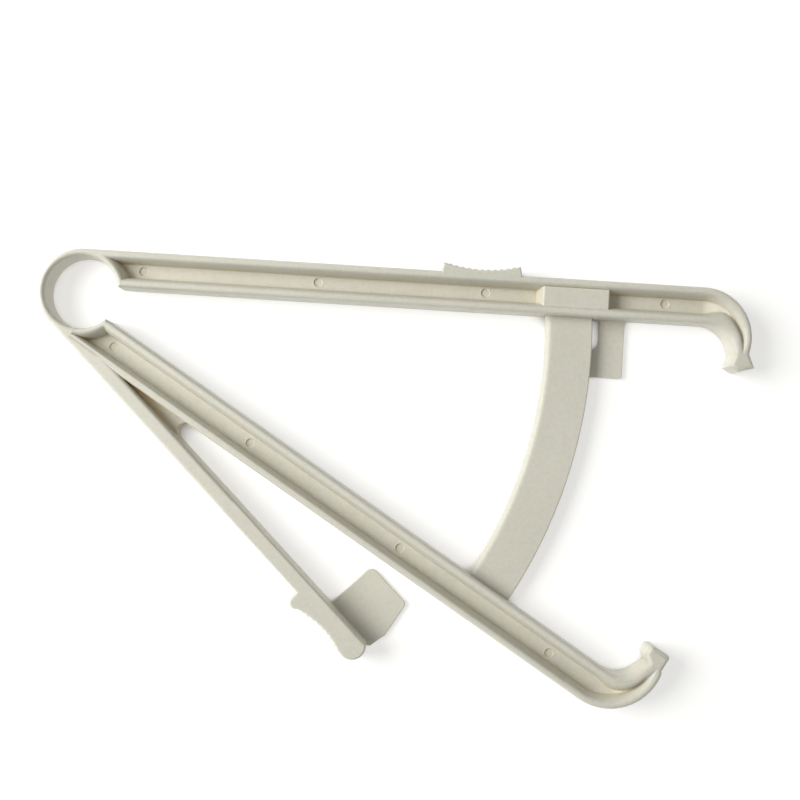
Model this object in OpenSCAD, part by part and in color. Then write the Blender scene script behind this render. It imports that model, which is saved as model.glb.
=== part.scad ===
// Skinfold caliper, front face down. Two channel arms leave a spring ring and
// end in hooked jaws. A curved scale stands on the lower arm and slides through
// the upper arm, and a thumb lever flexes beside the lower arm.
// Millimetres. The origin is the centre of the ring's hole, on the front face.

/* [Height] */
// Height of the arms, the ring, the jaws and the lever
body_h = 9; // [8:0.5:11]
// Thickness of the floor of each channel and of the lever's web
floor_t = 4; // [3.5:0.1:4.4]
// Thickness of the window plate and of the pressure flag
plate_t = 1.2; // [0.8:0.1:1.5]
// Depth of the inked marks
ink_t = 0.15; // [0.1:0.05:0.2]

/* [Ring] */
// Radius of the hole inside the spring ring
ring_hole_r = 10; // [9.5:0.1:10.5]
// Thickness of the spring ring's wall
ring_wall = 1.85; // [1.2:0.05:1.85]

/* [Arms] */
// Direction of the upper arm, in degrees
upper_angle = -3.6; // [-5:0.1:-2]
// Direction of the lower arm, in degrees
lower_angle = -35; // [-37:0.5:-33]
// Width of the upper arm
upper_w = 10; // [9:0.1:10.4]
// Width of the lower arm
lower_w = 10.45; // [9.5:0.05:10.8]
// Distance from the ring's centre to the lower arm's outer edge
lower_reach = 12.75; // [12.2:0.05:13]
// Width of the walls along the channels
wall_t = 2.2; // [1.6:0.1:2.6]

/* [Scale] */
// Radius of the inner edge of the scale arc
scale_r = 123.1; // [122.5:0.1:126]
// Width of the scale arc
scale_w = 13; // [10:0.2:14]
// Thickness of the scale arc
scale_t = 2.6; // [1.6:0.1:3]
// Gap round the scale arc where it slides through the upper arm
slide_gap = 0.3; // [0.2:0.05:0.5]
// Jaw opening between two lines of the scale
line_step = 2; // [1:1:5]
// Jaw opening at the top of the scale
scale_top = 78; // [70:2:80]

/* [Lever] */
// Direction of the thumb lever, in degrees
lever_angle = -47.3; // [-49:0.1:-46]
// Width of the thumb lever
lever_w = 4.25; // [3.5:0.05:5]
// Distance along the lever from the ring's centre to its end
lever_end = 124; // [120:1:126]

/* [Finger grips] */
// Number of ribs on each grip
rib_count = 9; // [5:1:11]
// Distance between ribs
rib_pitch = 1.75; // [1.2:0.05:1.9]
// Radius of each rib
rib_r = 0.4; // [0.2:0.05:0.6]

/* [Hidden] */
ivory = [0.82, 0.80, 0.73];
ink = [0.12, 0.12, 0.14];
$fn = 96;
eps = 0.01;
far = 400;

// Point that the arms turn about as the ring flexes, and the centre of the arc
pivot = [3.5, -7.5];
ring_r = ring_hole_r + ring_wall;

// Arm edges, measured from the ring's centre towards the other arm
upper_outer = -ring_r;
upper_inner = upper_outer + upper_w;
lower_outer = -lower_reach;
lower_inner = lower_outer + lower_w;
lower_start = 6;

// Jaws: where each bend starts, its outer and inner circles, and its neck
upper_jaw_start = 164;
upper_bend = [169.3, upper_outer + 13.5];
upper_bend_r = 13.5;
upper_hook = [169.9, upper_inner + 7.9];
upper_hook_r = 7.9;
upper_neck = [[182.35, 5.95], [178.2, 5.7]];
upper_neck_angle = 18;
lower_jaw_start = 167;
lower_bend = [173, lower_outer + 15.1];
lower_bend_r = 15.1;
lower_hook = [174.5, lower_inner + 7.6];
lower_hook_r = 7.6;
lower_neck = [[187.3, 5.95], [183.1, 5.9]];
lower_neck_angle = 14;
hook_end_angle = -25;

// Scale arc and its path through the upper arm
scale_r_out = scale_r + scale_w;
scale_z = 1.9;
scale_bevel = [1.4, 0.9];
scale_from = -38;
scale_to = 4.5;
foot_r = 177;
deg_per_mm = 180 / (PI * foot_r);
window_deg = -2;
line_w = 0.4;

// Guide block over the arc, and the plate with the reading window
guide_u = [124, 143.5];
guide_ramp = 1.7;
guide_top = body_h - 0.6;
plate_u = [127.5, 149.3];
plate_v = 14.1;
plate_corner = 0.8;
window_u = [130.5, 142.3];
window_v = 6.6;
window_chamfer = 1.4;

// Thumb lever: its edges, the rounded end of the slot beside it, and the split
lever_outer = -ring_r;
lever_inner = lever_outer + lever_w;
slot_start = 45.5;
slot_centre = [28, -38.1];
slot_r = 2.35;
flexure_end = 70;
tip_centre = [lever_end - 3.8, -10.6];
tip_r = 3.8;

// Pressure flag: its near and far ends along the lever, its top edge and its rounded corner
flag_u = [108.5, 126];
flag_top = 7.1;
flag_round = 2.1;

// Grips: ends and lowest point of the hollow, out from the ring's centre
finger_u = [97.5, 119.4];
finger_high = 14.2;
finger_low = 12.6;
finger_slope = 0.5;
thumb_u = [99.7, 120.2];
thumb_low = 13.25;
thumb_hollow_r = 24;
thumb_hollow_u = 111.6;
knob_r = 1.15;
knob_v = -14.5;

function arc(c, r, a, b, n = 24) =
  [for (i = [0 : n]) c + r * [cos(a + (b - a) * i / n), sin(a + (b - a) * i / n)]];

// Frames: x runs along the arm or lever, and y points towards the other arm
module on_upper_arm() {
  rotate(upper_angle) mirror([0, 1, 0]) children();
}

module on_lower_arm() {
  rotate(lower_angle) children();
}

module on_lever() {
  rotate(lever_angle) children();
}

module slab(u, v) {
  translate([u[0], v[0]]) square([u[1] - u[0], v[1] - v[0]]);
}

module channel_arm(from, to, outer, inner) {
  difference() {
    linear_extrude(body_h) difference() {
      slab([from, to], [outer, inner]);
      circle(ring_hole_r);
    }
    translate([0, 0, floor_t]) linear_extrude(body_h) difference() {
      slab([0, to + 1], [outer + wall_t, inner - wall_t]);
      circle(ring_r);
    }
  }
}

module hooked_jaw(start, outer, inner, bend, bend_r, hook, hook_r, neck, neck_angle) {
  difference() {
    linear_extrude(body_h) polygon(concat(
      [[start, outer]],
      arc(bend, bend_r, -90, neck_angle),
      neck,
      arc(hook, hook_r, hook_end_angle, -90),
      [[start, inner]]
    ));
    translate([0, 0, floor_t]) linear_extrude(body_h) difference() {
      union() {
        slab([start - 1, bend[0]], [outer + wall_t, inner - wall_t]);
        intersection() {
          translate(bend) circle(bend_r - wall_t);
          slab([bend[0] - eps, far], [-far, neck[0][1]]);
        }
      }
      translate(hook) circle(hook_r + wall_t);
      slab([bend[0], hook[0]], [inner - wall_t, far]);
      slab([start - 2, bend[0] + eps], [inner - wall_t, far]);
    }
  }
}

module scale_path(gap) {
  translate(pivot) rotate_extrude($fn = 360)
    translate([scale_r - gap, scale_z - 0.4]) square([scale_w + 2 * gap, scale_t + 0.4 + gap]);
}

// Ribs along the hollow of a grip, across its whole height
module ribs(hollow, hollow_r) {
  for (i = [0 : rib_count - 1]) {
    a = 90 + (i - (rib_count - 1) / 2) * rib_pitch / hollow_r * 180 / PI;
    at = hollow + (hollow_r + rib_r * 0.4) * [cos(a), sin(a)];
    translate([at[0], at[1], 0]) cylinder(r = rib_r, h = body_h, $fn = 24);
  }
}

// Half-plane on the outer side of the lower arm
module below_lower_arm() {
  on_lower_arm() slab([-far, far], [-far, lower_outer]);
}

// Slot between the lever and the lower arm, from its rounded end outwards
module lever_slot() {
  arm_out = [cos(lower_angle), sin(lower_angle)];
  arm_side = [-sin(lower_angle), cos(lower_angle)];
  lever_out = [cos(lever_angle), sin(lever_angle)];
  lever_side = [-sin(lever_angle), cos(lever_angle)];
  arm_touch = slot_centre + arm_side * (slot_r + 0.02);
  lever_touch = slot_centre - lever_side * (slot_r - 0.02);
  translate(slot_centre) circle(slot_r);
  polygon([
    slot_centre, arm_touch, arm_touch + far * arm_out, lever_touch + far * lever_out, lever_touch
  ]);
}

module root_outline() {
  difference() {
    intersection() {
      on_lever() slab([0, slot_start + 2 * slot_r], [lever_outer, 2]);
      union() {
        below_lower_arm();
        on_lower_arm() slab([-12, lower_start], [lower_outer - eps, -5]);
      }
    }
    circle(ring_hole_r);
  }
}

module root_wedge() {
  intersection() {
    below_lower_arm();
    on_lever() slab([-far, far], [lever_inner, far]);
  }
}

module spring_ring() {
  color(ivory) linear_extrude(body_h) difference() {
    circle(ring_r);
    circle(ring_hole_r);
    rotate(upper_angle) slab([0, far], [-far, far]);
    rotate(lever_angle) slab([0, far], [-far, far]);
  }
}

module lower_arm() {
  color(ivory) difference() {
    on_lower_arm() channel_arm(lower_start, lower_jaw_start, lower_outer, lower_inner);
    on_lower_arm() translate([0, 0, -eps]) linear_extrude(ink_t + eps) arm_arrow();
  }
}

module lower_jaw() {
  color(ivory) on_lower_arm() hooked_jaw(
    lower_jaw_start, lower_outer, lower_inner,
    lower_bend, lower_bend_r, lower_hook, lower_hook_r, lower_neck, lower_neck_angle
  );
}

module lower_jaw_foot() {
  color(ivory) on_lower_arm() linear_extrude(body_h) polygon(concat(
    [lower_neck[1], [181.8, 7.3]],
    arc([182.7, 9.15], 1, 180, 95, 6),
    arc([186.2, 9.6], 1, 85, 0, 6),
    [[187.2, 8], lower_neck[0]]
  ));
}

module scale_arc() {
  color(ivory) difference() {
    translate([pivot[0], pivot[1], 0]) rotate(scale_from)
      rotate_extrude(angle = scale_to - scale_from, $fn = 360) polygon([
        [scale_r, scale_z], [scale_r_out, scale_z], [scale_r_out, scale_z + scale_t],
        [scale_r + scale_bevel[0], scale_z + scale_t], [scale_r, scale_z + scale_t - scale_bevel[1]]
      ]);
    on_lower_arm() linear_extrude(far) slab([0, far], [-far, lower_inner]);
  }
}

module scale_lines() {
  color(ink) translate([pivot[0], pivot[1], scale_z - ink_t])
    for (mm = [0 : line_step : scale_top]) {
      long = mm % 10 == 0 ? 5.5 : 3;
      rotate(window_deg - (scale_top - mm) * deg_per_mm)
        translate([scale_r_out - 0.6 - long, -line_w / 2, 0]) cube([long, line_w, ink_t]);
    }
}

module lever_root() {
  color(ivory) {
    linear_extrude(body_h) difference() {
      root_outline();
      root_wedge();
      on_lever() slab([slot_start, far], [-far, far]);
    }
    linear_extrude(floor_t) difference() {
      intersection() {
        root_outline();
        root_wedge();
      }
      lever_slot();
    }
  }
}

module lever_flexure() {
  color(ivory) on_lever() linear_extrude(body_h)
    slab([slot_start, flexure_end], [lever_outer, lever_inner]);
}

module thumb_lever() {
  color(ivory) on_lever() linear_extrude(body_h) {
    slab([flexure_end, tip_centre[0]], [lever_outer, lever_inner]);
    intersection() {
      translate(tip_centre) circle(tip_r);
      slab([tip_centre[0] - eps, far], [lever_outer, lever_inner]);
    }
  }
}

module thumb_rest() {
  hollow = [thumb_hollow_u, -thumb_low - thumb_hollow_r];
  color(ivory) on_lever() {
    linear_extrude(body_h) difference() {
      union() {
        slab([thumb_u[0], thumb_u[0] + 2 * knob_r], [knob_v, lever_outer]);
        translate([thumb_u[0] + knob_r, knob_v]) circle(knob_r);
        slab([thumb_u[0] + knob_r, thumb_u[1]], [knob_v - knob_r, lever_outer]);
        intersection() {
          translate(tip_centre) circle(tip_r);
          slab([thumb_u[1] - eps, far], [-far, lever_outer]);
        }
      }
      translate(hollow) circle(thumb_hollow_r, $fn = 240);
    }
    ribs(hollow, thumb_hollow_r);
  }
}

module pressure_flag() {
  color(ivory) difference() {
    on_lever() linear_extrude(plate_t) polygon(concat(
      [[flag_u[0], lever_inner]],
      arc([flag_u[0] + flag_round, flag_top - flag_round], flag_round, 180, 90, 8),
      [[122, flag_top + 0.2], [123, 6.6], [flag_u[1], -2.6], [flag_u[1] - 1.1, lever_inner]]
    ));
    on_lever() translate([0, 0, -eps]) linear_extrude(ink_t + eps) flag_arrow();
  }
}

module flag_arrow() {
  polygon([[113, 2.5], [117, 2.5], [115, 6]]);
}

module flag_index_mark() {
  color(ink) on_lever() linear_extrude(ink_t) flag_arrow();
}

module arm_arrow() {
  polygon([[111, -8], [115, -8], [113, -11.5]]);
}

module arm_index_mark() {
  color(ink) on_lower_arm() linear_extrude(ink_t) arm_arrow();
}

module upper_arm() {
  color(ivory) difference() {
    on_upper_arm() channel_arm(0, upper_jaw_start, upper_outer, upper_inner);
    scale_path(slide_gap);
  }
}

module finger_rest() {
  half = (finger_u[1] - finger_u[0]) / 2 - finger_slope;
  sag = finger_high - finger_low;
  hollow_r = (half * half + sag * sag) / (2 * sag);
  hollow = [(finger_u[0] + finger_u[1]) / 2, -finger_low - hollow_r];
  color(ivory) on_upper_arm() {
    linear_extrude(body_h) difference() {
      polygon([
        [finger_u[0], upper_outer], [finger_u[0] + finger_slope, -finger_high],
        [finger_u[1] - finger_slope, -finger_high], [finger_u[1], upper_outer]
      ]);
      translate(hollow) circle(hollow_r, $fn = 240);
    }
    ribs(hollow, hollow_r);
  }
}

module scale_guide() {
  color(ivory) difference() {
    on_upper_arm() translate([0, upper_inner - wall_t, 0]) rotate([90, 0, 0])
      linear_extrude(upper_w - 2 * wall_t) polygon([
        [guide_u[0], floor_t], [guide_u[1], floor_t], [guide_u[1], guide_top],
        [guide_u[0] + guide_ramp, guide_top]
      ]);
    scale_path(slide_gap);
  }
}

module window_plate() {
  color(ivory) on_upper_arm() difference() {
    linear_extrude(plate_t) difference() {
      polygon(concat(
        [[plate_u[0], upper_inner], [plate_u[0], plate_v]],
        arc([plate_u[1] - plate_corner, plate_v - plate_corner], plate_corner, 90, 0, 6),
        [[plate_u[1], upper_inner]]
      ));
      polygon([
        [window_u[0], upper_inner - 1], [window_u[0], window_v - window_chamfer],
        [window_u[0] + window_chamfer, window_v], [window_u[1] - window_chamfer, window_v],
        [window_u[1], window_v - window_chamfer], [window_u[1], upper_inner - 1]
      ]);
    }
    translate([0, 0, -eps]) linear_extrude(ink_t + eps) pointer_outline();
  }
}

module pointer_outline() {
  polygon([[window_u[1] + 0.4, 2.4], [window_u[1] + 4, 1], [window_u[1] + 4, 3.8]]);
}

module window_pointer() {
  color(ink) on_upper_arm() linear_extrude(ink_t) pointer_outline();
}

module upper_jaw() {
  color(ivory) on_upper_arm() hooked_jaw(
    upper_jaw_start, upper_outer, upper_inner,
    upper_bend, upper_bend_r, upper_hook, upper_hook_r, upper_neck, upper_neck_angle
  );
}

module upper_jaw_foot() {
  color(ivory) on_upper_arm() linear_extrude(body_h) polygon([
    upper_neck[1], [177, 9.3], [179.4, 10.65], [183.6, 9.55], [184.05, 9.2], upper_neck[0]
  ]);
}

spring_ring();
lower_arm();
lower_jaw();
lower_jaw_foot();
scale_arc();
scale_lines();
lever_root();
lever_flexure();
arm_index_mark();
thumb_lever();
thumb_rest();
pressure_flag();
flag_index_mark();
upper_arm();
finger_rest();
scale_guide();
window_plate();
window_pointer();
upper_jaw();
upper_jaw_foot();
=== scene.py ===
"""Looks of the plastic skinfold caliper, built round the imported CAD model.

Every moulded member is a mesh swept or offset from the same driving dimensions as the CAD, with rounded rims,
drafted channel walls and ejector-pin marks. Lengths are in millimetres until a mesh is made.
"""

import math

import bmesh
import bpy
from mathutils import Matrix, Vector


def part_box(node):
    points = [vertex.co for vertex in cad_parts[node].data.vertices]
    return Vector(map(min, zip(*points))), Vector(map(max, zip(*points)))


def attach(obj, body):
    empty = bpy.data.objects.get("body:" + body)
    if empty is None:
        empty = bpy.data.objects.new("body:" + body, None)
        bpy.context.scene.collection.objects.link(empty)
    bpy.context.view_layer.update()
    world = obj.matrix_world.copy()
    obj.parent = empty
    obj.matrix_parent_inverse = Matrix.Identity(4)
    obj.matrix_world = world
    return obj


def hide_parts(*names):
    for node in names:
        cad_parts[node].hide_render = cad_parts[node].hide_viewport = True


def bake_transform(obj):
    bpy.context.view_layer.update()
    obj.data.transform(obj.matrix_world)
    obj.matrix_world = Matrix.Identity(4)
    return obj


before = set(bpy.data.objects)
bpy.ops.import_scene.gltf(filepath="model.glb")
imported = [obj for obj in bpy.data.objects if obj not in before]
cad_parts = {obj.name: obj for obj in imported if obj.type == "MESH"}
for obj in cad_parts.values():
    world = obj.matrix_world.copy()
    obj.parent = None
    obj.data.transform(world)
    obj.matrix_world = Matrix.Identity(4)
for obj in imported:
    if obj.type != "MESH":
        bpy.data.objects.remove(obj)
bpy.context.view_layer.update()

MM = 0.001

# Driving dimensions, as in the CAD
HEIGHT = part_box("upper_arm")[1][2] / MM
FLOOR = 4.0
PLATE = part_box("window_plate")[1][2] / MM
HOLE_R = 10.0
RING_R = 11.85
WALL = 2.2
PIVOT = Vector((3.5, -7.5))
UPPER_ANGLE = -3.6
LOWER_ANGLE = -35.0
LEVER_ANGLE = -47.3

UPPER_OUTER, UPPER_INNER = -RING_R, -RING_R + 10.0
LOWER_OUTER, LOWER_INNER = -12.75, -12.75 + 10.45
LEVER_OUTER, LEVER_INNER = -RING_R, -RING_R + 4.25
UPPER_END, LOWER_END = 164.0, 167.0
LOWER_START = 4.6

SLOT_START, FLEXURE_END = 45.5, 70.0
SLOT_CENTRE, SLOT_R = Vector((28.0, -38.1)), 2.35
LEVER_TIP, LEVER_TIP_R = Vector((120.2, -10.6)), 3.8
GRIP_START = 99.6

SCALE_R, SCALE_W, SCALE_T = 123.3, 12.8, 2.6
SCALE_Z = 1.9
SCALE_ANGLES = (-38.0, 4.5)
SLIDE_GAP = 0.3
PATH_LOW = SCALE_Z - 0.4

# Moulded edges: (width, height) of a rounded rim, on the arms, at the jaws' necks and inside their bends
RIM = (0.88, 1.25)
NECK_RIM = (1.1, 1.4)
BEND_RIM = (1.9, 2.1)
# Power of the inner slope in a jaw: the greater, the longer it stays near the rim
SLOPE_FALL = 3.4
BASE_ROUND = 0.3
# How far a channel wall reaches from its nominal face, at the rim and at the floor
WALL_TOP_IN, WALL_RUN = 0.95, 1.25
WALL_STEEPEST = math.radians(76)


# ---------------------------------------------------------------- local frames
def turned(angle, u, v):
    a = math.radians(angle)
    return Vector((u * math.cos(a) - v * math.sin(a), u * math.sin(a) + v * math.cos(a)))


def upper(u, v):
    """A point of the upper arm: u along it, v towards the lower arm."""
    return turned(UPPER_ANGLE, u, -v)


def lower(u, v):
    """A point of the lower arm: u along it, v towards the upper arm."""
    return turned(LOWER_ANGLE, u, v)


def lever(u, v):
    """A point of the thumb lever: u along it, v towards the lower arm."""
    return turned(LEVER_ANGLE, u, v)


def arc(centre, r, a, b, n=24):
    c = Vector(centre)
    steps = [math.radians(a + (b - a) * i / n) for i in range(n + 1)]
    return [c + r * Vector((math.cos(t), math.sin(t))) for t in steps]


def placed(where, points):
    return [where(p[0], p[1]) for p in points]


# ---------------------------------------------------------------- mesh building
def area(points):
    return sum(a.x * b.y - b.x * a.y for a, b in zip(points, points[1:] + points[:1])) / 2


def anticlockwise(points):
    points = [Vector(p) for p in points]
    clean = [p for p, q in zip(points, points[1:] + points[:1]) if (p - q).length > 1e-4]
    return clean if area(clean) > 0 else clean[::-1]


def inset(points, d):
    """The outline moved inwards by d, with mitred corners."""
    moved = []
    n = len(points)
    for i, p in enumerate(points):
        e0 = (p - points[i - 1]).normalized()
        e1 = (points[(i + 1) % n] - p).normalized()
        n0, n1 = Vector((-e0.y, e0.x)), Vector((-e1.y, e1.x))
        moved.append(p + (n0 + n1) * (d / max(1 + n0.dot(n1), 0.25)))
    return moved


def quarter(r, top, steps=6):
    """(inset, height) pairs of a rounded top edge, from the side to the top. r is (width, height) or one radius."""
    wide, high = r if isinstance(r, tuple) else (r, r)
    turns = [math.pi / 2 * i / steps for i in range(steps + 1)]
    return [(wide * (1 - math.cos(t)), top - high + high * math.sin(t)) for t in turns]


def wall_curve(top, floor, start=-WALL_TOP_IN, run=WALL_RUN, steps=12):
    """(inset, height) pairs of a channel wall: a long round from the rim, steepest near the floor."""
    wide, deep = run - start, top - floor
    pairs = []
    for i in range(steps + 1):
        t = WALL_STEEPEST * i / steps
        x = math.sin(t) / math.sin(WALL_STEEPEST)
        z = (1 - math.cos(t)) / (1 - math.cos(WALL_STEEPEST))
        pairs.append((start + 0.86 * wide * x, top - 0.93 * deep * z))
    return pairs + [(start + 0.9 * wide, top - 0.98 * deep), (run, floor)]


def smooth(t):
    t = max(0.0, min(1.0, t))
    return t * t * (3 - 2 * t)


def add_loop(bm, points, z):
    return [bm.verts.new((p.x * MM, p.y * MM, z * MM)) for p in points]


def join_loops(bm, a, b):
    n = len(a)
    for i in range(n):
        bm.faces.new((a[i], a[(i + 1) % n], b[(i + 1) % n], b[i]))


def fill(bm, loops):
    """A flat face between closed loops of vertices: an outline and any holes in it."""
    if len(loops) == 1:
        return bm.faces.new(loops[0])
    edges = []
    for loop in loops:
        for a, b in zip(loop, loop[1:] + loop[:1]):
            edges.append(bm.edges.get((a, b)) or bm.edges.new((a, b)))
    return bmesh.ops.triangle_fill(bm, use_beauty=True, use_dissolve=False, edges=edges)


def stack(bm, points, levels, ripple=None):
    """Loops of the outline at each (inset, height), joined side to side."""
    loops = []
    reach = max(d for d, z in levels)
    for d, z in levels:
        loop = inset(points, d)
        if ripple:
            out = inset(points, d - 1)
            share = 1 - d / reach
            loop = [p + (q - p) * ripple(p) * share for p, q in zip(loop, out)]
        loops.append(add_loop(bm, loop, z))
    for a, b in zip(loops, loops[1:]):
        join_loops(bm, a, b)
    return loops


def prism(outline, top, base=0.0, rim=RIM, foot=BASE_ROUND, pocket=None, marks=(), holes=(), hole_round=0.15,
          ripple=None):
    """A moulding with rounded edges. pocket is sunk into its top, marks are ejector-pin discs on the pocket's floor,
    and ripple gives how far each point of the outline stands out, dying away across the rim."""
    bm = bmesh.new()
    outline = anticlockwise(outline)
    under = [(d, base + (top - z)) for d, z in quarter(foot, top, 3)][::-1]
    loops = stack(bm, outline, under + quarter(rim, top), ripple)
    top_edge, base_edge = [loops[-1]], [loops[0]]
    for hole in holes:
        hole = anticlockwise(hole)
        side = [(-d, z) for d, z in quarter(hole_round, top, 2)][::-1]
        lower_side = [(-d, base + (top - z)) for d, z in quarter(hole_round, top, 2)]
        ring = stack(bm, hole, side + lower_side)
        top_edge.append(ring[0])
        base_edge.append(ring[-1])
    if pocket:
        levels = wall_curve(top, FLOOR)
        sunk = stack(bm, anticlockwise(pocket), levels)
        top_edge.append(sunk[0])
        floor_edge = [sunk[-1]]
        floor_z = levels[-1][1]
        for mark in marks:
            ring = [add_loop(bm, arc(mark, r, 0, 360 * 31 / 32, 31), floor_z - z) for r, z in MARK_STEPS]
            for a, b in zip(ring, ring[1:]):
                join_loops(bm, a, b)
            bm.faces.new(ring[-1])
            floor_edge.append(ring[0])
        fill(bm, floor_edge)
    fill(bm, top_edge)
    fill(bm, base_edge)
    bmesh.ops.recalc_face_normals(bm, faces=bm.faces)
    return bm


# Radius and depth of an ejector-pin mark, from the floor inwards
MARK_STEPS = ((1.5, 0.0), (1.36, -0.05), (1.24, 0.0), (1.14, 0.3), (1.02, 0.38))


def cut(bm, point, away):
    """Removes what lies beyond the upright plane through point that faces away, and closes the cut."""
    geometry = bm.verts[:] + bm.edges[:] + bm.faces[:]
    done = bmesh.ops.bisect_plane(
        bm, geom=geometry, dist=1e-7, plane_co=(point.x * MM, point.y * MM, 0),
        plane_no=(away.x, away.y, 0), clear_outer=True,
    )
    edges = [e for e in done["geom_cut"] if isinstance(e, bmesh.types.BMEdge) and e.is_boundary]
    bmesh.ops.holes_fill(bm, edges=edges, sides=0)
    bmesh.ops.recalc_face_normals(bm, faces=bm.faces)
    return bm


def loft(sections):
    """A solid skinned over closed rings of points (x, y, z), one after another."""
    bm = bmesh.new()
    rings = [[bm.verts.new(Vector(p) * MM) for p in section] for section in sections]
    for a, b in zip(rings, rings[1:]):
        join_loops(bm, a, b)
    bm.faces.new(rings[0])
    bm.faces.new(rings[-1])
    bmesh.ops.recalc_face_normals(bm, faces=bm.faces)
    return bm


SHARP = math.radians(38)


def make(name, bm, material, body, node):
    """The mesh as an object that rides on body and stands for the CAD node."""
    for face in bm.faces:
        face.smooth = abs(face.normal.z) < 0.99999
    for edge in bm.edges:
        edge.smooth = len(edge.link_faces) == 2 and edge.calc_face_angle(0) < SHARP
    mesh = bpy.data.meshes.new(name)
    bm.to_mesh(mesh)
    bm.free()
    obj = bpy.data.objects.new(name, mesh)
    bpy.context.scene.collection.objects.link(obj)
    mesh.materials.append(material)
    even = obj.modifiers.new("even_normals", "WEIGHTED_NORMAL")
    even.keep_sharp = True
    even.weight = 80
    if body:
        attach(obj, body)
    if node:
        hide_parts(node)
    return obj


# ---------------------------------------------------------------- materials
def new_material(name):
    material = bpy.data.materials.new(name)
    material.use_nodes = True
    tree = material.node_tree
    return material, tree, tree.nodes["Principled BSDF"]


def add_node(tree, kind, **settings):
    node = tree.nodes.new(kind)
    for key, value in settings.items():
        setattr(node, key, value)
    return node


def noise(tree, scale, detail=3.0, roughness=0.55):
    where = tree.nodes.get("Where") or add_node(tree, "ShaderNodeTexCoord", name="Where")
    node = add_node(tree, "ShaderNodeTexNoise")
    node.inputs["Scale"].default_value = scale
    node.inputs["Detail"].default_value = detail
    node.inputs["Roughness"].default_value = roughness
    tree.links.new(where.outputs["Object"], node.inputs["Vector"])
    return node.outputs["Fac"]


def ramp(tree, value, low, high, at=(0.3, 0.7)):
    node = add_node(tree, "ShaderNodeValToRGB")
    node.color_ramp.elements[0].position = at[0]
    node.color_ramp.elements[1].position = at[1]
    node.color_ramp.elements[0].color = (*low, 1)
    node.color_ramp.elements[1].color = (*high, 1)
    tree.links.new(value, node.inputs["Fac"])
    return node.outputs["Color"]


def multiply(tree, a, b, share=1.0):
    node = add_node(tree, "ShaderNodeMix", data_type="RGBA", blend_type="MULTIPLY")
    node.inputs["Factor"].default_value = share
    tree.links.new(a, node.inputs["A"])
    tree.links.new(b, node.inputs["B"])
    return node.outputs["Result"]


def facing_up(tree):
    """1 on faces that look up and 0 on upright and downward ones; it masks the painted glow in the plastic."""
    normal = add_node(tree, "ShaderNodeNewGeometry")
    parts = add_node(tree, "ShaderNodeSeparateXYZ")
    tree.links.new(normal.outputs["Normal"], parts.inputs["Vector"])
    return ramp(tree, parts.outputs["Z"], (0.0, 0.0, 0.0), (1.0, 1.0, 1.0), (0.3, 0.95))


def ivory_plastic():
    """Satin moulded plastic: faint cloudy colour, painted warm shade in its recesses and a painted glow in those that
    face up, and a fine spark-eroded grain.
    """
    material, tree, shader = new_material("ivory_plastic")
    clouds = ramp(tree, noise(tree, 60, 4), (0.635, 0.622, 0.54), (0.665, 0.652, 0.572))
    flecks = ramp(tree, noise(tree, 900, 2), (0.955, 0.95, 0.935), (1.0, 1.0, 1.0), (0.33, 0.55))
    shade = add_node(tree, "ShaderNodeAmbientOcclusion")
    shade.samples = 8
    shade.inputs["Distance"].default_value = 0.007
    # Painted shade: ambient occlusion darkens and warms the base colour in recesses, corners and creases, standing in
    # for shade and warm bounced light.
    painted_recess_shade = ramp(tree, shade.outputs["AO"], (0.9, 0.76, 0.53), (1.0, 1.0, 1.0), (0.0, 0.5))
    colour = multiply(tree, multiply(tree, clouds, flecks), painted_recess_shade)
    tree.links.new(colour, shader.inputs["Base Color"])
    # Painted light: an emission in up-facing recesses, strongest where ambient occlusion is deepest, standing in for
    # light bounced into them.
    painted_recess_glow = ramp(tree, shade.outputs["AO"], (0.11, 0.08, 0.045), (0.0, 0.0, 0.0), (0.0, 0.4))
    tree.links.new(multiply(tree, painted_recess_glow, facing_up(tree)), shader.inputs["Emission Color"])
    shader.inputs["Emission Strength"].default_value = 1.0
    rough = ramp(tree, noise(tree, 220, 3), (0.40, 0.40, 0.40), (0.52, 0.52, 0.52))
    tree.links.new(rough, shader.inputs["Roughness"])
    shader.inputs["IOR"].default_value = 1.49
    shader.inputs["Subsurface Weight"].default_value = 0.35
    shader.inputs["Subsurface Radius"].default_value = (1.0, 0.8, 0.6)
    shader.inputs["Subsurface Scale"].default_value = 0.0006
    grain = add_node(tree, "ShaderNodeBump")
    grain.inputs["Strength"].default_value = 0.12
    grain.inputs["Distance"].default_value = 0.00006
    tree.links.new(noise(tree, 2600, 2, 0.6), grain.inputs["Height"])
    sink = add_node(tree, "ShaderNodeBump")
    sink.inputs["Strength"].default_value = 0.25
    sink.inputs["Distance"].default_value = 0.0003
    tree.links.new(noise(tree, 130, 2), sink.inputs["Height"])
    tree.links.new(grain.outputs["Normal"], sink.inputs["Normal"])
    tree.links.new(sink.outputs["Normal"], shader.inputs["Normal"])
    return material


def scale_ink():
    """Matt printing ink, slightly uneven."""
    material, tree, shader = new_material("scale_ink")
    colour = ramp(tree, noise(tree, 1500, 3), (0.012, 0.012, 0.016), (0.045, 0.045, 0.05))
    tree.links.new(colour, shader.inputs["Base Color"])
    shader.inputs["Roughness"].default_value = 0.62
    return material


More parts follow.
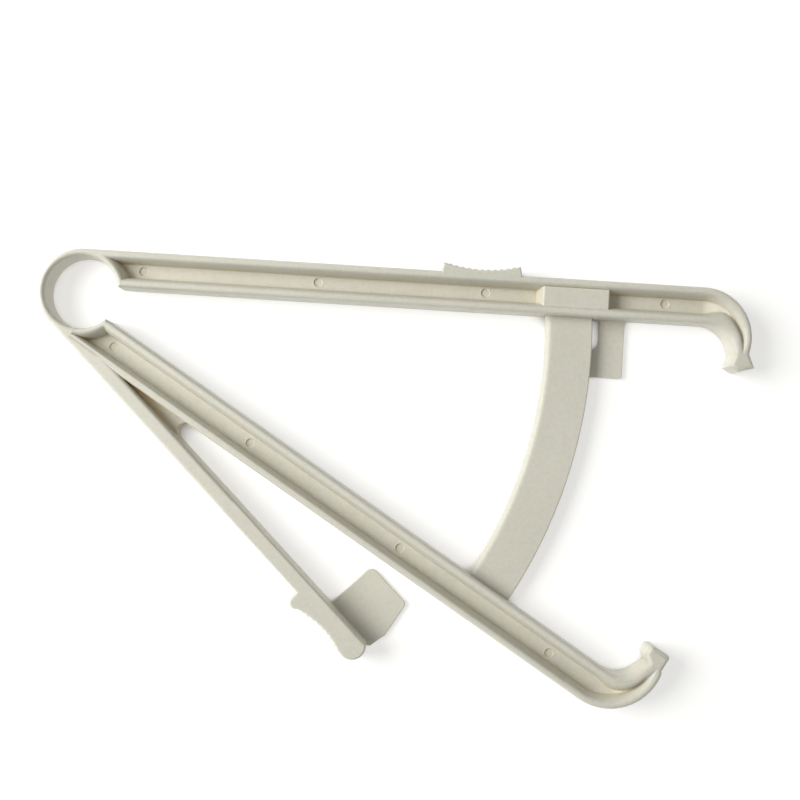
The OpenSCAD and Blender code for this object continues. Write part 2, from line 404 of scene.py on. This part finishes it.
def floor_paper():
    material, tree, shader = new_material("floor_paper")
    colour = ramp(tree, noise(tree, 8, 2), (0.55, 0.55, 0.547), (0.57, 0.57, 0.567))
    tree.links.new(colour, shader.inputs["Base Color"])
    # Painted light: the floor glows where it is open, lightening the shadows there, and ambient occlusion fades the
    # glow so narrow gaps under the part stay dark as painted shadow.
    shade = add_node(tree, "ShaderNodeAmbientOcclusion")
    shade.samples = 8
    shade.inputs["Distance"].default_value = 0.005
    painted_floor_glow = ramp(tree, shade.outputs["AO"], (0.0, 0.0, 0.0), (1.0, 0.995, 0.98), (0.2, 0.5))
    tree.links.new(painted_floor_glow, shader.inputs["Emission Color"])
    shader.inputs["Emission Strength"].default_value = 0.55
    shader.inputs["Roughness"].default_value = 0.9
    return material


IVORY = ivory_plastic()
INK = scale_ink()


# ---------------------------------------------------------------- arms
def pocket_outline(where, end, outer, inner):
    """Outline of a channel, with its near end following the ring's outer circle."""
    low, high = outer + WALL, inner - WALL
    a = math.degrees(math.asin(low / RING_R))
    b = math.degrees(math.asin(high / RING_R))
    return placed(where, arc((0, 0), RING_R, b, a, 16) + [Vector((end, low)), Vector((end, high))])


UPPER_MARKS = (15.6, 63.8, 110.0, 159.5)
LOWER_MARKS = (15.0, 61.0, 111.0, 160.5)
CHANNEL_MID_UPPER = (UPPER_OUTER + UPPER_INNER) / 2 - 0.25
CHANNEL_MID_LOWER = (LOWER_OUTER + LOWER_INNER) / 2


def slot_cutter():
    """A ring-shaped block where the scale arc slides."""
    sections = []
    for i in range(49):
        a = math.radians(-8 + 20 * i / 48)
        out = Vector((math.cos(a), math.sin(a)))
        near, far = PIVOT + out * (SCALE_R - SLIDE_GAP), PIVOT + out * (SCALE_R + SCALE_W + SLIDE_GAP)
        low, high = PATH_LOW, SCALE_Z + SCALE_T + SLIDE_GAP
        sections.append([(near.x, near.y, low), (far.x, far.y, low), (far.x, far.y, high), (near.x, near.y, high)])
    bm = loft(sections)
    mesh = bpy.data.meshes.new("slot_cutter")
    bm.to_mesh(mesh)
    bm.free()
    obj = bpy.data.objects.new("slot_cutter", mesh)
    bpy.context.scene.collection.objects.link(obj)
    return obj


def subtract(bm, cutter):
    """bm less the cutter object, which is then removed."""
    mesh = bpy.data.meshes.new("uncut")
    bm.to_mesh(mesh)
    bm.free()
    obj = bpy.data.objects.new("uncut", mesh)
    bpy.context.scene.collection.objects.link(obj)
    change = obj.modifiers.new("cut", "BOOLEAN")
    change.operation = "DIFFERENCE"
    change.solver = "EXACT"
    change.object = cutter
    graph = bpy.context.evaluated_depsgraph_get()
    result = bmesh.new()
    result.from_object(obj, graph)
    for spare in (obj, cutter):
        bpy.data.objects.remove(spare)
    return result


def upper_arm():
    corner = math.degrees(math.asin(UPPER_INNER / HOLE_R))
    seam = -90 - math.degrees(math.asin(3 / HOLE_R))
    outline = arc((0, 0), HOLE_R, seam, corner, 40) + [
        Vector((UPPER_END + 3, UPPER_INNER)), Vector((UPPER_END + 3, UPPER_OUTER)), Vector((-3, UPPER_OUTER))
    ]
    pocket = pocket_outline(upper, UPPER_END + 2, UPPER_OUTER, UPPER_INNER)
    marks = [upper(u, CHANNEL_MID_UPPER) for u in UPPER_MARKS]
    bm = prism(placed(upper, outline), HEIGHT, pocket=pocket, marks=marks)
    cut(bm, upper(0, 0), upper(-1, 0))
    cut(bm, upper(UPPER_END, 0), upper(1, 0))
    bm = subtract(bm, slot_cutter())
    make("upper_arm_channel", bm, IVORY, "upper_arm", "upper_arm")


def line_crossing(frame_a, v_a, frame_b, v_b):
    """Where the line v = v_a of one frame crosses the line v = v_b of another."""
    p, q = frame_a(0, v_a), frame_b(0, v_b)
    d, e = frame_a(1, v_a) - p, frame_b(1, v_b) - q
    t = ((q - p).x * e.y - (q - p).y * e.x) / (d.x * e.y - d.y * e.x)
    return p + d * t


def lower_arm():
    corner = math.degrees(math.asin(LOWER_INNER / HOLE_R))
    near = LOWER_START - 2
    outline = arc((0, 0), HOLE_R, -math.degrees(math.acos(near / HOLE_R)), corner, 40) + [
        Vector((LOWER_END + 3, LOWER_INNER)), Vector((LOWER_END + 3, LOWER_OUTER)), Vector((near, LOWER_OUTER))
    ]
    pocket = pocket_outline(lower, LOWER_END + 2, LOWER_OUTER, LOWER_INNER)
    marks = [lower(u, CHANNEL_MID_LOWER) for u in LOWER_MARKS]
    bm = prism(placed(lower, outline), HEIGHT, pocket=pocket, marks=marks)
    cut(bm, lower(LOWER_START, 0), lower(-1, 0))
    cut(bm, lower(LOWER_END, 0), lower(1, 0))
    make("lower_arm_channel", bm, IVORY, "lower_arm", "lower_arm")


def lever_root():
    """The lever from the ring on. It dies into the crown of the arm's wall, so the two rims part in a groove."""
    corner = math.degrees(math.asin(LEVER_INNER / HOLE_R))
    seam = -90 - math.degrees(math.asin(3 / HOLE_R))
    outline = placed(lever, arc((0, 0), HOLE_R, seam, corner, 40) + [
        Vector((SLOT_START + 3, LEVER_INNER)), Vector((SLOT_START + 3, LEVER_OUTER)), Vector((-3, LEVER_OUTER))
    ])
    bm = prism(outline, HEIGHT)
    cut(bm, lever(0, 0), lever(-1, 0))
    near, far = bm, bm.copy()
    cut(near, lower(LOWER_START, 0), lower(1, 0))
    make("lever_root_shoulder", near, IVORY, "lower_arm", "lever_root")
    cut(far, lower(LOWER_START, 0), lower(-1, 0))
    cut(far, lower(0, LOWER_OUTER + WALL / 2), lower(0, 1))
    cut(far, lever(SLOT_START, 0), lever(1, 0))
    make("lever_root_beam", far, IVORY, "lower_arm", "lever_root")
    arm_side, lever_side = LOWER_ANGLE + 90, LEVER_ANGLE + 270
    web = [line_crossing(lower, LOWER_OUTER + 1.2, lever, LEVER_INNER - 1.2)]
    web += [SLOT_CENTRE + turned(arm_side, SLOT_R + 1.2, 0)] + arc(SLOT_CENTRE, SLOT_R, arm_side, lever_side, 24)
    web += [SLOT_CENTRE + turned(lever_side, SLOT_R + 1.2, 0)]
    make("lever_root_web", prism(web, FLOOR, rim=0.5, foot=0.15), IVORY, "lower_arm", "lever_root")


upper_arm()
lower_arm()
lever_root()


# ---------------------------------------------------------------- spring ring
def bar_points(width, top, round_out, round_in, foot=BASE_ROUND):
    """(across, height) points up a bar's outer side and down its inner side, its top edges rounded (width, height)."""
    head = [(d, top - z) for d, z in quarter(foot, top, 3)][::-1]
    head += quarter(round_out, top)
    tail = [(width - d, z) for d, z in quarter(round_in, top)][::-1]
    tail += [(width - d, top - z) for d, z in quarter(foot, top, 3)]
    return head, tail


def bar_section(width, top, round_out, round_in, foot=BASE_ROUND):
    head, tail = bar_points(width, top, round_out, round_in, foot)
    return head + tail


def spring_ring():
    sections = []
    a0, a1 = 90 + UPPER_ANGLE, 270 + LEVER_ANGLE
    steps = 64
    for i in range(steps + 1):
        a = math.radians(a0 + (a1 - a0) * i / steps)
        out = Vector((math.cos(a), math.sin(a)))
        bar = bar_section(RING_R - HOLE_R, HEIGHT, RIM, RIM)
        sections.append([(*(out * (RING_R - x)), z) for x, z in bar])
    ring = make("spring_ring_c", loft(sections), IVORY, None, "spring_ring")
    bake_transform(ring)


spring_ring()


# ---------------------------------------------------------------- jaws and feet
def along(points, share):
    """The point a given share of the way along a polyline."""
    lengths = [(b - a).length for a, b in zip(points, points[1:])]
    left = share * sum(lengths)
    for a, b, length in zip(points, points[1:], lengths):
        if left <= length:
            return a + (b - a) * (left / max(length, 1e-9))
        left -= length
    return points[-1].copy()


def blend_values(t, stops):
    """A smooth curve without overshoot through (t, value) stops, level at its start."""
    rise = [(b[1] - a[1]) / (b[0] - a[0]) for a, b in zip(stops, stops[1:])]
    slopes = [0.0]
    for before, after in zip(rise, rise[1:]):
        slopes.append(2 * before * after / (before + after) if before * after > 0 else 0.0)
    slopes.append(rise[-1])
    i = max(k for k in range(len(rise)) if k == 0 or stops[k][0] <= t)
    (x0, y0), (x1, y1) = stops[i], stops[i + 1]
    wide = x1 - x0
    s = (t - x0) / wide
    bend = (slopes[i] * (1 - s) - slopes[i + 1] * s) * wide * s * (1 - s)
    return y0 + (y1 - y0) * smooth(s) + bend


def jaw_section(width, t, shape):
    """Section of a jaw a share t of the way round its bend. The channel's floor closes in on a crease at the foot of
    the outer wall, and its inner side becomes a long slope."""
    out_rim = tuple(a + (b - a) * smooth(t) for a, b in zip(RIM, NECK_RIM))
    in_rim = tuple(blend_values(t, ((0, a), (0.6, b), (1, c))) for a, b, c in zip(RIM, BEND_RIM, NECK_RIM))
    head, tail = bar_points(width, HEIGHT, out_rim, in_rim)
    closed = smooth(t / shape["closed_at"])
    sunk = blend_values(t, shape["depth"])
    outer_run = blend_values(t, shape["crease"])
    crown = WALL - WALL_TOP_IN
    arm_run = WALL_TOP_IN + WALL_RUN
    start = width - max(crown, in_rim[0] + 0.12)
    reach = arm_run + (start - outer_run - arm_run - 0.02) * closed
    down, up = [], []
    for x, z in wall_curve(HEIGHT, HEIGHT - sunk, -WALL_TOP_IN, WALL_RUN):
        share = (x + WALL_TOP_IN) / arm_run
        down.append((crown + share * (outer_run - crown), z))
        slope = HEIGHT - sunk * share ** SLOPE_FALL
        up.append((start - share * reach, z + (slope - z) * closed))
    return head + down + up[::-1] + tail


def across(out_point, in_point, section):
    """The section laid from out_point to in_point in plan."""
    step = (in_point - out_point).normalized()
    return [(*(out_point + step * x), z) for x, z in section]


def jaw(name, node, body, where, start, outer, inner, bend, bend_r, hook, hook_r, neck, neck_angle, shape):
    out_line = arc(bend, bend_r, -90, neck_angle, 60)
    in_line = arc(hook, hook_r, -90, -25, 48) + [Vector(neck[1])]
    out_line[-1] = Vector(neck[0])
    sections = []
    for u in (start, start + (bend[0] - start) * 0.5):
        sections.append(across(where(u, outer), where(u, inner), jaw_section(inner - outer, 0, shape)))
    steps = 56
    for i in range(steps + 1):
        t = i / steps
        a, b = along(out_line, t), along(in_line, t)
        sections.append(across(where(*a), where(*b), jaw_section((b - a).length, t, shape)))
    make(name, loft(sections), IVORY, body, node)


def foot(name, node, body, where, neck, outline):
    """A flared foot that carries on from the jaw's neck."""
    along_neck = (neck[1] - neck[0]).normalized()
    back = Vector((along_neck.y, -along_neck.x))
    middle = sum(outline, Vector((0, 0))) / len(outline)
    if back.dot(middle - neck[0]) > 0:
        back = -back
    behind = [neck[0] + back * 2, neck[1] + back * 2]
    bm = prism(placed(where, [behind[1], neck[1]] + outline + [neck[0], behind[0]]), HEIGHT, rim=NECK_RIM)
    cut(bm, where(*neck[0]), where(*back))
    make(name, bm, IVORY, body, node)


UPPER_NECK = (Vector((182.35, 5.95)), Vector((178.2, 5.7)))
LOWER_NECK = (Vector((187.3, 5.95)), Vector((183.1, 5.9)))

# How each channel runs out round its bend, as (share of the bend, millimetres): the crease's distance from the outer
# side and its depth. closed_at is where the inner wall has become all slope.
UPPER_RUN_OUT = {
    "closed_at": 0.5,
    "crease": ((0, WALL + WALL_RUN), (0.5, 3.9), (0.78, 2.9), (1, 1.9)),
    "depth": ((0, HEIGHT - FLOOR), (0.25, 3.4), (0.45, 2.2), (0.76, 1.5), (0.93, 0.3), (1, 0.0)),
}
LOWER_RUN_OUT = {
    "closed_at": 0.62,
    "crease": ((0, WALL + WALL_RUN), (0.4, 3.8), (0.7, 3.6), (1, 2.0)),
    "depth": ((0, HEIGHT - FLOOR), (0.3, 4.7), (0.5, 3.5), (0.72, 1.9), (0.92, 0.3), (1, 0.0)),
}

jaw("upper_jaw_hook", "upper_jaw", "upper_arm", upper, UPPER_END, UPPER_OUTER, UPPER_INNER,
    (169.3, UPPER_OUTER + 13.5), 13.5, (169.9, UPPER_INNER + 7.9), 7.9, UPPER_NECK, 18, UPPER_RUN_OUT)
jaw("lower_jaw_hook", "lower_jaw", "lower_arm", lower, LOWER_END, LOWER_OUTER, LOWER_INNER,
    (173.0, LOWER_OUTER + 15.1), 15.1, (174.5, LOWER_INNER + 7.6), 7.6, LOWER_NECK, 14, LOWER_RUN_OUT)

foot("upper_foot_flare", "upper_jaw_foot", "upper_arm", upper, UPPER_NECK,
     [Vector((177, 9.3)), Vector((179.4, 10.65)), Vector((183.85, 9.4))])
foot("lower_foot_flare", "lower_jaw_foot", "lower_arm", lower, LOWER_NECK,
     [Vector((181.0, 7.4))] + arc((182.0, 9.2), 1.2, 180, 92, 8) + arc((186.2, 9.6), 1.0, 85, 0, 8)
     + [Vector((187.2, 8.0))])


# ---------------------------------------------------------------- scale
def scale_arc():
    """The curved strip, with a wide soft chamfer along its inner edge."""
    w, t = SCALE_W, SCALE_T
    strip = [(0.12, 0), (0, 0.12)] + quarter(0.35, t, 4)
    r, wide = 2.3, 1.75
    turns = [math.radians(44) * i / 9 for i in range(10)]
    strip += [(w - wide + r * math.sin(a), t - r * (1 - math.cos(a))) for a in turns]
    strip += [(w - 0.05, t - 0.85), (w, t - 1.05), (w, 0.12), (w - 0.12, 0)]
    sections = []
    steps = 170
    lo, hi = SCALE_ANGLES
    for i in range(steps + 1):
        a = math.radians(lo + (hi - lo) * i / steps)
        out = Vector((math.cos(a), math.sin(a)))
        sections.append([(*(PIVOT + out * (SCALE_R + SCALE_W - x)), SCALE_Z + z) for x, z in strip])
    bm = loft(sections)
    cut(bm, lower(0, LOWER_INNER - 1.0), lower(0, -1))
    make("scale_arc_strip", bm, IVORY, "lower_arm", "scale_arc")


def guide():
    """The block over the scale arc in the upper arm's channel, with a ramp at its near end."""
    profile = [(123.8, FLOOR - 0.5), (143.5, FLOOR - 0.5), (143.5, HEIGHT - 0.6), (125.5, HEIGHT - 0.6)]
    low, high = UPPER_OUTER + WALL + 0.15, UPPER_INNER - WALL + 0.25
    bm = loft([[(*upper(u, v), z) for u, z in profile] for v in (low, high)])
    bmesh.ops.bevel(bm, geom=bm.edges[:], offset=0.4 * MM, segments=4, affect="EDGES", profile=0.5)
    bm = subtract(bm, slot_cutter())
    make("scale_guide_block", bm, IVORY, "upper_arm", "scale_guide")


def window_plate():
    right, bottom, r = 149.3, 14.1, 0.8
    outline = [Vector((127.5, UPPER_INNER - 1.0)), Vector((127.5, bottom))]
    outline += arc((right - r, bottom - r), r, 90, 0, 8) + [Vector((right, UPPER_INNER - 1.0))]
    left, edge, low, c = 130.5, 142.3, 6.6, 1.4
    window = [
        Vector((left, UPPER_INNER + 0.2)), Vector((left, low - c)), Vector((left + c, low)),
        Vector((edge - c, low)), Vector((edge, low - c)), Vector((edge, UPPER_INNER + 0.2)),
    ]
    bm = prism(placed(upper, outline), PLATE, rim=0.2, foot=0.15, holes=[placed(upper, window)])
    make("window_plate_front", bm, IVORY, "upper_arm", "window_plate")


scale_arc()
guide()
window_plate()


# ---------------------------------------------------------------- thumb lever
def lever_flexure():
    steps = 30
    sections = []
    for i in range(steps + 1):
        u = SLOT_START + (FLEXURE_END - SLOT_START) * i / steps
        bar = bar_section(LEVER_INNER - LEVER_OUTER, HEIGHT, RIM, RIM)
        sections.append(across(lever(u, LEVER_OUTER), lever(u, LEVER_INNER), bar))
    piece = make("lever_flexure_bar", loft(sections), IVORY, None, "lever_flexure")
    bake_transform(piece)


def hollow(centre, r, from_deg, to_deg):
    """The smooth line of a grip's hollow."""
    return arc(centre, r, from_deg, to_deg, 220)


def ribs(where, centre, r, from_deg, to_deg, pitch=1.75, height=0.26, edge=1.3):
    """How far a point of a grip's outline stands out: a wave along its hollow that dies out towards both ends."""
    middle = where(*centre)
    aim = where(centre[0], centre[1] + 1) - middle
    half = math.radians(abs(to_deg - from_deg)) / 2 * r

    def ripple(p):
        arm = p - middle
        if abs(arm.length - r) > 0.02:
            return 0.0
        travel = math.atan2(aim.x * arm.y - aim.y * arm.x, aim.dot(arm)) * r
        return height * smooth((half - abs(travel)) / edge - 0.4) * (0.4 + 0.6 * math.cos(2 * math.pi * travel / pitch))

    return ripple


def thumb_lever():
    tip = arc(LEVER_TIP, LEVER_TIP_R, -93, 60, 40)
    hollow_r, hollow_u, hollow_v = 24.0, 111.6, -13.25
    centre = Vector((hollow_u, hollow_v - hollow_r))
    knob_r = 1.8
    knob = Vector((GRIP_START + 0.1 + knob_r, -13.85))
    a0 = math.degrees(math.acos((103.2 - hollow_u) / hollow_r))
    a1 = math.degrees(math.acos((LEVER_TIP.x - 1.25 - hollow_u) / hollow_r))
    whole = [Vector((FLEXURE_END - 3, LEVER_OUTER)), Vector((GRIP_START, LEVER_OUTER))]
    whole += arc(knob, knob_r, 180, 298, 16)
    whole += hollow(centre, hollow_r, a0, a1)
    whole += [p for p in tip if p.y < LEVER_INNER]
    whole += [Vector((FLEXURE_END - 3, LEVER_INNER))]
    waves = ribs(lever, centre, hollow_r, a0, a1)
    bm = prism(placed(lever, whole), HEIGHT, rim=(0.6, 0.8), ripple=waves)
    cut(bm, lever(FLEXURE_END, 0), lever(-1, 0))
    rest = bm.copy()
    cut(bm, lever(0, LEVER_OUTER), lever(0, -1))
    make("thumb_lever_bar", bm, IVORY, "thumb_lever", "thumb_lever")
    cut(rest, lever(GRIP_START - 0.1, 0), lever(-1, 0))
    cut(rest, lever(0, LEVER_OUTER), lever(0, 1))
    make("thumb_rest_pad", rest, IVORY, "thumb_lever", "thumb_rest")


def pressure_flag():
    left, top, r = 108.5, 7.1, 2.1
    outline = [Vector((left, LEVER_INNER - 1.0))] + arc((left + r, top - r), r, 180, 90, 10)
    outline += arc((121.6, top - 1.2), 1.3, 90, 20, 8)
    outline += arc((124.0, -3.2), 1.0, 15, -30, 6)
    outline += [Vector((124.3, LEVER_INNER - 0.4)), Vector((123.4, LEVER_INNER - 1.0))]
    bm = prism(placed(lever, outline), PLATE, rim=(0.35, 0.3), foot=0.15)
    make("pressure_flag_plate", bm, IVORY, "thumb_lever", "pressure_flag")


lever_flexure()
thumb_lever()
pressure_flag()


def finger_rest():
    u0, u1, slope, high, low = 97.5, 119.4, 0.5, -14.2, -12.6
    half, sag = (u1 - u0) / 2 - slope, low - high
    r = (half * half + sag * sag) / (2 * sag)
    centre = Vector(((u0 + u1) / 2, low - r))
    spread = math.degrees(math.asin(half / r))
    outline = [Vector((u0, UPPER_OUTER + 3)), Vector((u0, UPPER_OUTER))]
    outline += hollow(centre, r, 90 + spread, 90 - spread)
    outline += [Vector((u1, UPPER_OUTER)), Vector((u1, UPPER_OUTER + 3))]
    waves = ribs(upper, centre, r, 90 + spread, 90 - spread)
    bm = prism(placed(upper, outline), HEIGHT, rim=(0.4, 0.5), ripple=waves)
    cut(bm, upper(0, UPPER_OUTER + RIM[0]), upper(0, 1))
    make("finger_rest_pad", bm, IVORY, "upper_arm", "finger_rest")


finger_rest()

for name in ("scale_lines", "arm_index_mark", "flag_index_mark", "window_pointer"):
    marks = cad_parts[name]
    marks.data.materials.clear()
    marks.data.materials.append(INK)


# ---------------------------------------------------------------- floor, light and camera
def studio():
    bpy.ops.mesh.primitive_plane_add(size=6, location=(0.085, -0.05, -0.0002))
    ground = bpy.context.object
    ground.name = "floor"
    ground.data.materials.append(floor_paper())
    world = bpy.data.worlds.new("studio")
    bpy.context.scene.world = world
    world.use_nodes = True
    world.node_tree.nodes["Background"].inputs["Color"].default_value = (1.0, 1.0, 0.985, 1)
    world.node_tree.nodes["Background"].inputs["Strength"].default_value = 0.36
    area_light("key", (-0.62, 0.10, 0.60), (0.085, -0.05, 0), 0.65, 9.6)


def area_light(name, at, target, size, power):
    data = bpy.data.lights.new(name, "AREA")
    data.shape = "DISK"
    data.size = size
    data.energy = power
    data.color = (1.0, 0.995, 0.97)
    light = bpy.data.objects.new(name, data)
    light.location = at
    light.rotation_euler = (Vector(target) - Vector(at)).to_track_quat("-Z", "Y").to_euler()
    bpy.context.scene.collection.objects.link(light)


def camera():
    """The photograph's view: nearly straight down, from above the jaws' side of the lower arm."""
    rim = HEIGHT * MM
    span, distance = 0.216, 0.315
    data = bpy.data.cameras.new("camera")
    data.sensor_width = 36
    data.lens = 36 / (2 * math.tan(math.atan(span / 2 / distance)))
    data.clip_start, data.clip_end = 0.01, 10
    obj = bpy.data.objects.new("camera", data)
    aim = Vector((0.08667, -0.02957, rim))
    obj.location = aim + Vector((0, -0.0135, distance))
    obj.rotation_euler = (aim - obj.location).to_track_quat("-Z", "Y").to_euler()
    bpy.context.scene.collection.objects.link(obj)
    bpy.context.scene.camera = obj


studio()
camera()
bpy.context.scene.view_settings.view_transform = "Standard"
